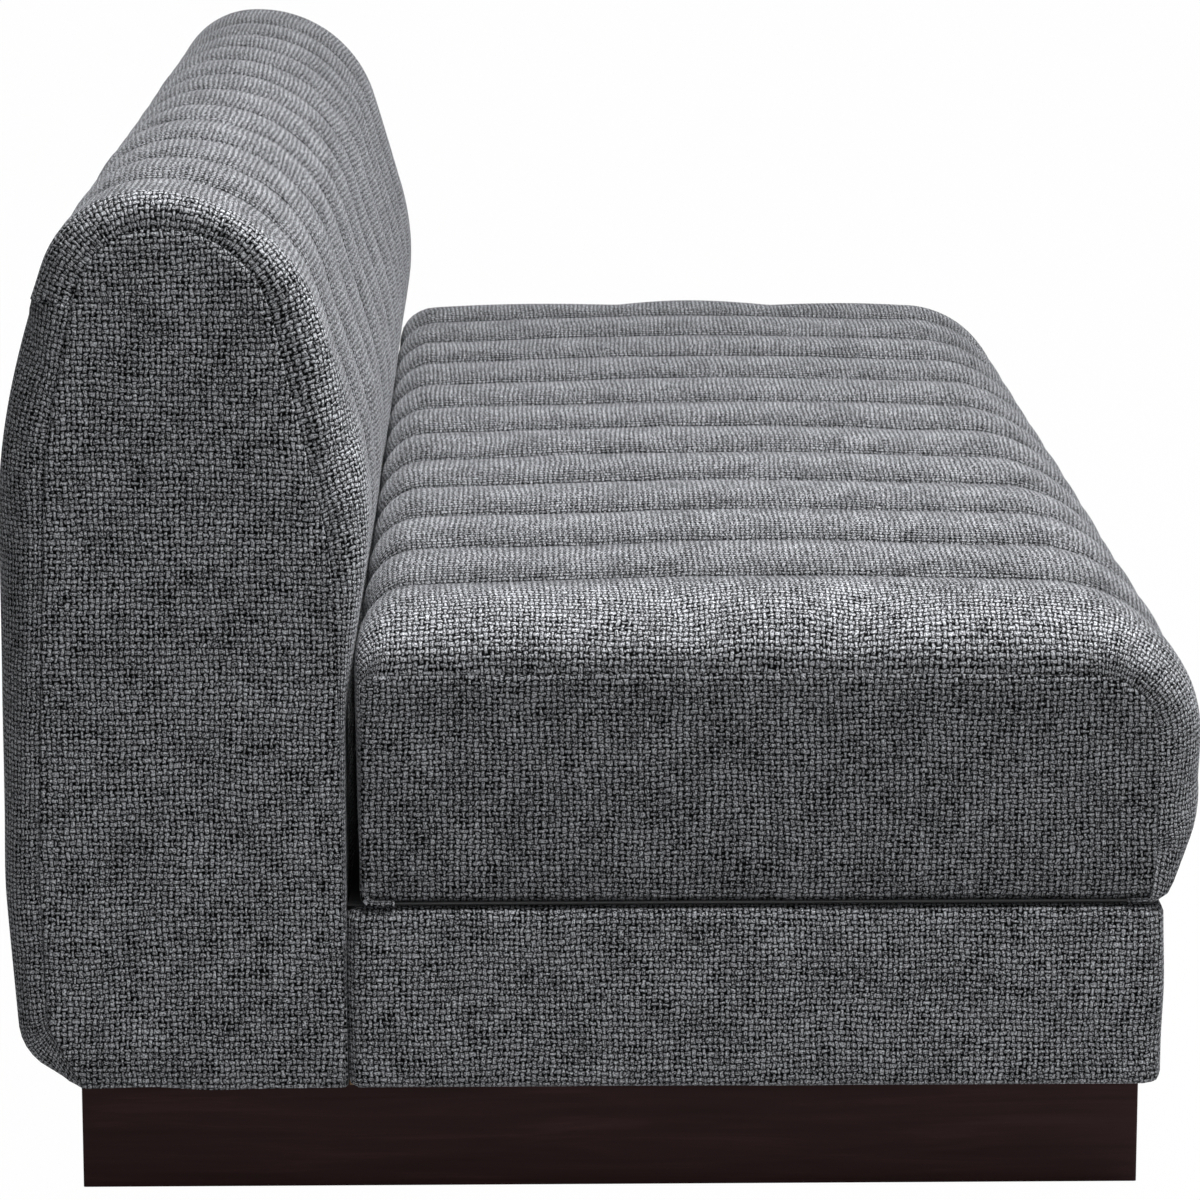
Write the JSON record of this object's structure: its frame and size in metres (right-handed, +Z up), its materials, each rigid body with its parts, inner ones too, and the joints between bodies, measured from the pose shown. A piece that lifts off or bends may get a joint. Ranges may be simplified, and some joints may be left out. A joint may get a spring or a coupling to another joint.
{
  "type": "armless modular sofa",
  "caption": "Armless modular sofa with a channelled back, a loose channelled seat cushion, an upholstered base and a recessed dark wood plinth.",
  "frame": {"origin": "on the floor below the middle of the sofa", "axes": "+X along the length, -Y towards the front of the seat, +Z up"},
  "size_m": [1.727, 0.9208, 0.784],
  "materials": {
    "grey_weave": "matte",
    "stained_wood": "satin",
    "frame_wood": "matte",
    "fibre_board": "matte",
    "glide_plastic": "matte",
    "steel": "satin",
    "foam": "matte",
    "lining_cloth": "matte"
  },
  "bodies": {
    "sofa_frame": {"back_bolts": "steel", "back_channel_cover": "grey_weave", "back_foam": "foam", "back_left_pad": "foam", "back_left_panel": "grey_weave", "back_left_rib": "frame_wood", "back_lower_front_rail": "frame_wood", "back_lower_rear_rail": "frame_wood", "back_middle_ribs": "frame_wood", "back_rear_board": "fibre_board", "back_rear_panel": "grey_weave", "back_right_pad": "foam", "back_right_panel": "grey_weave", "back_right_rib": "frame_wood", "back_straps": "lining_cloth", "back_top_rail": "frame_wood", "base_corner_blocks": "frame_wood", "base_front_cover": "grey_weave", "base_front_rail": "frame_wood", "base_left_cover": "grey_weave", "base_left_rail": "frame_wood", "base_rear_rail": "frame_wood", "base_right_cover": "grey_weave", "base_right_rail": "frame_wood", "base_stretchers": "frame_wood", "bolt_washers": "steel", "deck_cloth": "lining_cloth", "deck_felt": "lining_cloth", "dust_cover": "lining_cloth", "floor_glides": "glide_plastic", "front_spring_clips": "steel", "joining_inserts": "steel", "plinth_braces": "frame_wood", "plinth_corner_blocks": "frame_wood", "plinth_front_board": "stained_wood", "plinth_left_board": "stained_wood", "plinth_rear_board": "stained_wood", "plinth_right_board": "stained_wood", "plinth_screws": "steel", "rear_spring_clips": "steel", "seat_springs": "steel", "tee_nuts": "steel"},
    "seat_cushion": {"seat_bottom_panel": "grey_weave", "seat_channel_cover": "grey_weave", "seat_foam": "foam", "seat_left_panel": "grey_weave", "seat_right_panel": "grey_weave"}
  },
  "joints": [
    {"name": "seat_cushion_lift", "type": "slide", "parent": "sofa_frame", "child": "seat_cushion", "axis": [0, -0.4472, 0.8944], "range_m": [0, 0.6]}
  ]
}
